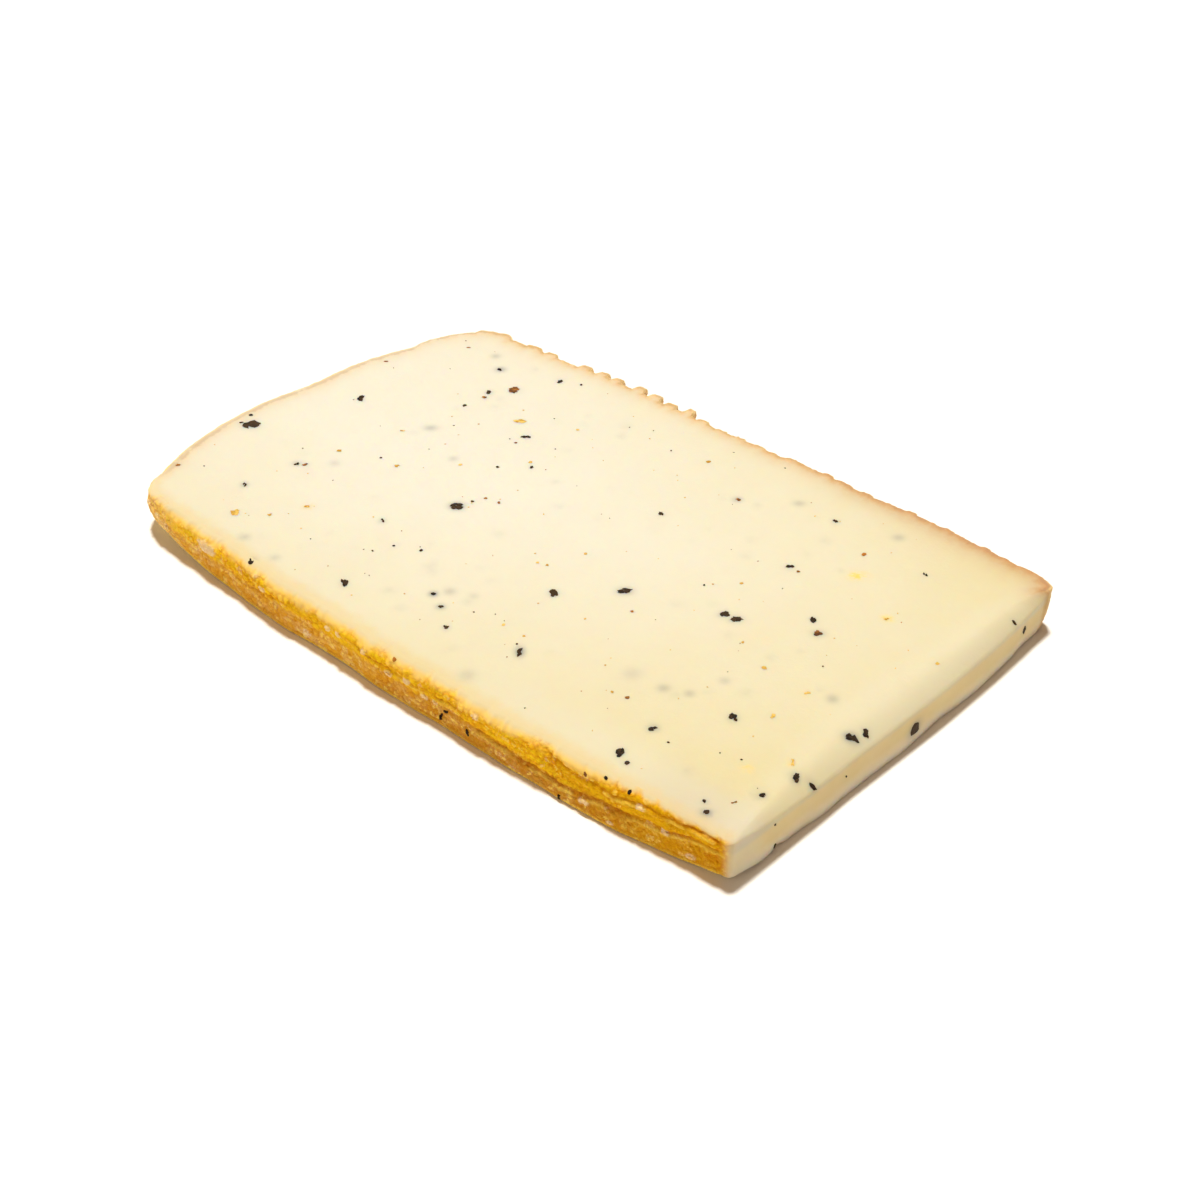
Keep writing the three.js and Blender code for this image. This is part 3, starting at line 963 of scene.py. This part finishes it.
class Finish:
    """A material round one Principled shader, whose constants are set on its own sockets."""

    def __init__(self, name, constants):
        self.material = bpy.data.materials.new(name)
        self.material.use_nodes = True
        self.tree = self.material.node_tree
        self.shader = self.tree.nodes["Principled BSDF"]
        for socket, value in constants.items():
            self.shader.inputs[socket].default_value = value
        place = self.node("ShaderNodeTexCoord", {}, {}, "Object")
        self.place = self.node("ShaderNodeVectorMath", {"operation": "SCALE"}, {0: place, "Scale": 1 / MM})

    def node(self, kind, settings, sockets, out=0):
        """Adds a node: its settings first, then a value or a link for each socket."""
        node = self.tree.nodes.new(kind)
        for name, value in settings.items():
            setattr(node, name, value)
        for key, value in sockets.items():
            if isinstance(value, Dye):
                self.tree.links.new(value.socket, node.inputs[key])
            else:
                node.inputs[key].default_value = value
        return Dye(self, node.outputs[out])

    def feed(self, socket, dye):
        self.tree.links.new(dye.socket, self.shader.inputs[socket])

    def mark(self, name):
        return self.node("ShaderNodeAttribute", {"attribute_name": name}, {}, "Fac")

    def along(self, axis):
        """The place in millimetres along one axis: 0, 1 or 2."""
        return self.node("ShaderNodeSeparateXYZ", {}, {0: self.place}, axis)

    def noise(self, size, detail=2, roughness=0.5, stretch=None):
        """Noise from about -1 to 1, with lumps of a size in millimetres."""
        place = self.place
        if stretch:
            place = self.node("ShaderNodeVectorMath", {"operation": "MULTIPLY"}, {0: place, 1: stretch})
        sockets = {"Vector": place, "Scale": 1 / size, "Detail": detail, "Roughness": roughness}
        return 4 * self.node("ShaderNodeTexNoise", {}, sockets, 0) - 2

    def cells(self, size):
        """How far each point is from the edge of its cell, in cells of a size in millimetres."""
        settings = {"feature": "DISTANCE_TO_EDGE"}
        return self.node("ShaderNodeTexVoronoi", settings, {"Vector": self.place, "Scale": 1 / size})

    def mix(self, share, first, second):
        settings = {"data_type": "RGBA", "clamp_factor": True}
        return self.node("ShaderNodeMix", settings, {0: share, 6: first, 7: second}, 2)

    def bump(self, height, strength, distance):
        sockets = {"Height": height, "Strength": strength, "Distance": distance * MM}
        return self.node("ShaderNodeBump", {}, sockets, 0)


PASTE_CREAM = (0.745, 0.745, 0.655, 1)
PASTE_BUTTER = (0.675, 0.61, 0.35, 1)
PASTE_SHADED = (0.57, 0.49, 0.31, 1)
PASTE_GREYED = (0.70, 0.68, 0.54, 1)
END_TAN = (0.76, 0.625, 0.30, 1)
END_PALE = (0.88, 0.78, 0.60, 1)
RIM_TAN = (0.65, 0.38, 0.09, 1)
RIM_BROWN = (0.50, 0.25, 0.085, 1)
RIM_AMBER = (0.70, 0.53, 0.20, 1)
RIM_GREY = (0.42, 0.33, 0.24, 1)
RIM_GOLD = (0.93, 0.66, 0.18, 1)
RIND_GOLD = (1, 0.66, 0.012, 1)
RIND_AMBER = (0.98, 0.48, 0.006, 1)
RIND_HIGHLIGHT = (1, 0.75, 0.12, 1)
RIND_HONEY = (0.82, 0.43, 0.03, 1)
RIND_TAN = (0.88, 0.56, 0.15, 1)
RIND_TOFFEE_SHADE = (0.50, 0.22, 0.012, 1)
RIND_BURNT = (0.54, 0.15, 0.001, 1)
RIND_DRY = (0.95, 0.74, 0.45, 1)
RIND_STRAW = (0.88, 0.68, 0.38, 1)
RIND_DEEP_SHADE = (0.76, 0.41, 0, 1)
SHADE_GREY = (0.17, 0.18, 0.19, 1)
SMEAR_YELLOW = (0.84, 0.64, 0.16, 1)
FLOOR_WHITE = (0.94, 0.94, 0.93, 1)
FLOOR_OFF_WHITE = (0.93, 0.93, 0.92, 1)
RIND_CELL = 0.95

PASTE_BODY = {
    "IOR": 1.42, "Subsurface Weight": 0.9, "Subsurface Scale": 2 * MM,
    "Subsurface Radius": (1, 0.62, 0.3), "Specular IOR Level": 0.35,
}
RIND_BODY = {
    "IOR": 1.42, "Subsurface Weight": 0.2, "Subsurface Scale": 0.8 * MM,
    "Subsurface Radius": (1, 0.5, 0.12), "Specular IOR Level": 0.03,
}


def paste_colour(finish):
    """Ivory paste: yellower near the rinds and, as painted falloff of light and painted shade, darker
    towards the cut end's front corner; greyer where it rolls to the plain cut, as painted shade; tan down
    the plain cut;
    stained by the rind near it, with a painted glow there; and shaded round its chips."""
    mix, mark, noise = finish.mix, finish.mark, finish.noise
    slow = noise(24)
    mottle = noise(4.5, 3, 0.6)
    x = finish.along(0)
    y = finish.along(1)
    # Yellower near both rinds; darker and yellower towards the cut end's front corner as painted falloff
    # of light.
    ripe_and_falloff = 0.2 + 0.0052 * x - 0.003 * y + 0.00006 * x * x + 0.00023 * y * y + 0.06 * slow + 0.04 * mottle
    # Painted shade on the paste near the cut end's front corner.
    front_corner_shade = x.eased(40, 56) * (0 - y).eased(27, 35)
    colour = mix(ripe_and_falloff, PASTE_CREAM, PASTE_BUTTER)
    colour = mix(front_corner_shade, colour, PASTE_SHADED)

    height = mark("height")
    # Painted shade: the paste greyer where it rolls down to the plain cut, for light lost out of the thin
    # edge.
    roll = 1 - (mark("edge") + 0.3 * mottle).eased(0.3, 4.5)
    colour = mix(0.3 * roll, colour, PASTE_GREYED)
    plumb = (1 - height.eased(4.8, 5.9)) * roll
    end_colour = mix(height.eased(0.2, 3.5) + 0.15 * mottle, END_PALE, END_TAN)
    colour = mix(plumb, colour, end_colour)

    under = mark("under")
    amber = mark("amber")
    fuzz = noise(0.9, 3, 0.65)
    front = amber.eased(0.55, 0.95)
    away = under + 0.25 * fuzz + 0.3 * noise(2.5) + under * plumb * front
    # Greyer in a band inside the front rind, towards the cut end.
    front_band_grey = (1 - under.eased(4, 10)) * front * x.eased(0, 35)
    colour = mix(0.5 * front_band_grey, colour, PASTE_GREYED)
    back_corner = x.eased(-12, 50)
    heel = (-44 - x).eased(0, 12)
    # The rind's stain in the paste near the rind, partly a painted glow of light through the paste.
    back_glow = (away * (1 - 0.4 * back_corner)).fading(1.1) * (0.8 + 0.2 * back_corner - 0.4 * heel)
    front_glow = 0.42 - 0.42 * away.eased(-0.3, 2.2)
    stain = mix(front, mix(back_corner, RIM_TAN, RIM_BROWN), RIM_AMBER)
    colour = mix(back_glow + front * (front_glow - back_glow), colour, stain)
    grey_line = (1 - away.eased(0, 0.35)) * (1 - front)
    colour = mix(0.35 * grey_line, colour, RIM_GREY)
    # Gold along the top of the front rind, partly a painted glow of light there.
    colour = mix(mark("gilt") * (0.95 + 0.3 * fuzz), colour, RIM_GOLD)
    colour = mix(mark("smear") * (0.8 + 1.2 * fuzz), colour, SMEAR_YELLOW)
    return mix(0.62 * mark("shade"), colour, SHADE_GREY)


def rind_colour(finish):
    """Scaly rind: gold above, duller honey and tan below (partly painted shade near the floor), darker
    towards the cut end as painted shade, burnt in its cracks and creases, pale where dry, with painted
    highlights on its scale tips, ridges and foot line.
    """
    mix, mark, noise = finish.mix, finish.mark, finish.noise
    blotch = noise(3.2, 3, 0.6)
    streak = noise(1.2, 3, 0.6, (0.45, 1, 1.8))
    fine = noise(0.5, 2, 0.6)
    own = mark("own")
    crack = mark("crack")
    x = finish.along(0)
    # The duller lower band: partly the rind's own colour, partly painted shade near the floor.
    lower = mix((own + 0.35 * blotch).eased(0.2, 1), RIND_HONEY, RIND_TAN)
    # Painted shade: darker toffee towards the cut end.
    lower = mix(0.68 * (x + 4 * blotch).eased(-8, 30), lower, RIND_TOFFEE_SHADE)
    pale_gap = crack * (0.3 + blotch).eased(0, 0.5) * (1 - mark("upper"))
    lower = mix(0.5 * pale_gap, lower, RIND_TAN)
    upper = mix((0.4 * own + 0.5 * streak + 0.25 * fine + 0.2).eased(0, 0.9), RIND_GOLD, RIND_AMBER)
    colour = mix(mark("upper"), lower, upper)
    # Painted shade: darker, deeper orange near the cut end.
    colour = mix(0.7 * (x + 4 * blotch).eased(30, 54), colour, RIND_DEEP_SHADE)
    speckle = (own + 0.5 * blotch + 0.3 * fine).eased(0.95, 1.25)
    colour = mix(0.4 * speckle, colour, RIND_DRY)
    web = 1 - finish.cells(RIND_CELL).eased(0, 0.16)
    colour = mix((0.42 - 0.24 * mark("upper")) * web * (0.8 + 0.6 * blotch), colour, RIND_BURNT)
    colour = mix((0.6 + 0.4 * streak) * (crack - 0.8 * pale_gap), colour, RIND_BURNT)
    # Painted highlights on the tops of the scales, fewer near the cut end.
    tip_highlight = (1 - crack + 0.4 * fine).eased(0.75, 1.1) * (own + 0.6 * streak).eased(0.4, 0.9)
    colour = mix((0.75 - 0.35 * x.eased(34, 54)) * tip_highlight, colour, RIND_HIGHLIGHT)
    colour = mix(0.85 * mark("crease"), colour, RIND_BURNT)
    # Painted highlights along the ridges below the creases and along the foot line.
    colour = mix(0.6 * mark("ridge") + 0.5 * mark("foot"), colour, RIND_HIGHLIGHT)
    heel_corner = (0 - x).eased(44, 60)
    colour = mix(0.45 * heel_corner * (0.7 + 0.5 * blotch), colour, RIND_DRY)
    dry = mark("dry") * (0.85 + 0.25 * fine)
    colour = mix(dry, colour, RIND_DRY)
    weak = 1 - mark("amber").eased(0.4, 0.95)
    return mix(0.85 * weak, colour, RIND_STRAW)


def paste_finish():
    finish = Finish("ivory_paste", PASTE_BODY)
    finish.feed("Base Color", paste_colour(finish))
    grain = finish.noise(0.5, 3, 0.6)
    finish.feed("Roughness", 0.48 + 0.05 * finish.noise(6) + 0.03 * grain)
    finish.feed("Normal", finish.bump(grain + 2 * finish.noise(2.4), 0.25, 0.03))
    return finish.material


def rind_finish():
    finish = Finish("amber_rind", RIND_BODY)
    stain = paste_colour(finish)
    finish.feed("Base Color", finish.mix(finish.mark("skin"), stain, rind_colour(finish)))
    grain = finish.noise(0.35, 3, 0.65)
    finish.feed("Roughness", 0.55 + 0.1 * finish.noise(1.5))
    rough = grain + finish.noise(0.9) + 1.3 * finish.cells(RIND_CELL).eased(0, 0.3)
    finish.feed("Normal", finish.bump(rough * finish.mark("skin"), 0.75, 0.1))
    return finish.material


def chip_finish(name, dark, light, roughness):
    """Dry seasoning: each chip has its own tone between two, with fine grain over it."""
    finish = Finish(name, {"Subsurface Weight": 0, "IOR": 1.45, "Specular IOR Level": 0.2})
    grain = finish.noise(0.3, 2, 0.6)
    finish.feed("Base Color", finish.mix(finish.mark("tone") + 0.25 * grain, dark, light))
    finish.feed("Roughness", roughness + 0.12 * grain)
    finish.feed("Normal", finish.bump(grain, 0.5, 0.05))
    return finish.material


def flake_finish():
    finish = Finish("dry_rind", RIND_BODY)
    grain = finish.noise(0.6, 3, 0.6)
    finish.feed("Base Color", finish.mix(0.5 + 0.4 * grain, RIND_TAN, RIND_DRY))
    finish.feed("Roughness", 0.6 + 0.1 * grain)
    finish.feed("Normal", finish.bump(grain, 0.5, 0.06))
    return finish.material


def floor_finish():
    finish = Finish("pale_floor", {"Specular IOR Level": 0.1})
    cloud = finish.noise(400)
    finish.feed("Base Color", finish.mix(0.5 + 0.1 * cloud, FLOOR_WHITE, FLOOR_OFF_WHITE))
    finish.feed("Roughness", 0.9 + 0.02 * finish.noise(300, 1))
    return finish.material


# ---- floor, light, camera

def make_floor():
    half = FLOOR_HALF
    corners = ((-half, -half, 0), (half, -half, 0), (half, half, 0), (-half, half, 0))
    floor = mesh_piece("floor", corners, [[0, 1, 2, 3]], (floor_finish(),), {}, smooth=False)
    floor.location.z = -FLOOR_DROP * MM


def make_sun(name, way, strength, angle, colour):
    sun = bpy.data.lights.new(name, "SUN")
    sun.energy = strength
    sun.angle = angle
    sun.color = colour
    lamp = bpy.data.objects.new(name, sun)
    lamp.rotation_euler = Vector(way).to_track_quat("Z", "Y").to_euler()
    bpy.context.scene.collection.objects.link(lamp)


def make_light():
    make_sun("window_sun", SUN_FROM, SUN_STRENGTH, SUN_ANGLE, SUN_COLOUR)
    make_sun("front_glow", GLOW_FROM, GLOW_STRENGTH, GLOW_ANGLE, GLOW_COLOUR)
    world = bpy.data.worlds.new("room")
    world.use_nodes = True
    world.node_tree.nodes["Background"].inputs["Color"].default_value = ROOM_COLOUR
    bpy.context.scene.world = world


def make_camera():
    flat = cos(CAMERA_ELEVATION)
    way = Vector((sin(CAMERA_AZIMUTH) * flat, -cos(CAMERA_AZIMUTH) * flat, sin(CAMERA_ELEVATION)))
    lens = bpy.data.cameras.new("camera")
    lens.lens = LENS
    lens.sensor_width = SENSOR
    lens.clip_start = 10 * MM
    lens.clip_end = 100
    camera = bpy.data.objects.new("camera", lens)
    camera.location = (Vector(CAMERA_TARGET) + way * CAMERA_DISTANCE) * MM
    camera.rotation_euler = way.to_track_quat("Z", "Y").to_euler()
    bpy.context.scene.collection.objects.link(camera)
    bpy.context.scene.camera = camera
    bpy.context.scene.view_settings.view_transform = "Standard"


make_camera()
make_light()
make_floor()
outline = make_outline()
body, surface, rim = make_slice(outline, paste_finish(), rind_finish())
settle(body)
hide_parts("cheese_slice")
specks = speck_spots(outline, rim)
black = chip_finish("black_seasoning", (0.012, 0.007, 0.003, 1), (0.06, 0.033, 0.012, 1), 0.6)
brown = chip_finish("brown_seasoning", (0.05, 0.018, 0.008, 1), (0.45, 0.17, 0.02, 1), 0.55)
golden = chip_finish("golden_seasoning", (0.50, 0.26, 0.02, 1), (0.82, 0.58, 0.14, 1), 0.55)
make_black_chips(surface, specks["black"], black)
make_face_chips(surface, specks["brown"], brown, 102, BROWN_CHIPS, 0.08, "brown_chips", "brown_fleck")
make_face_chips(surface, specks["golden"], golden, 103, GOLDEN_CHIPS, 0.05, "golden_chips", "yellow_fleck")
make_rind_flakes(surface, flake_finish())
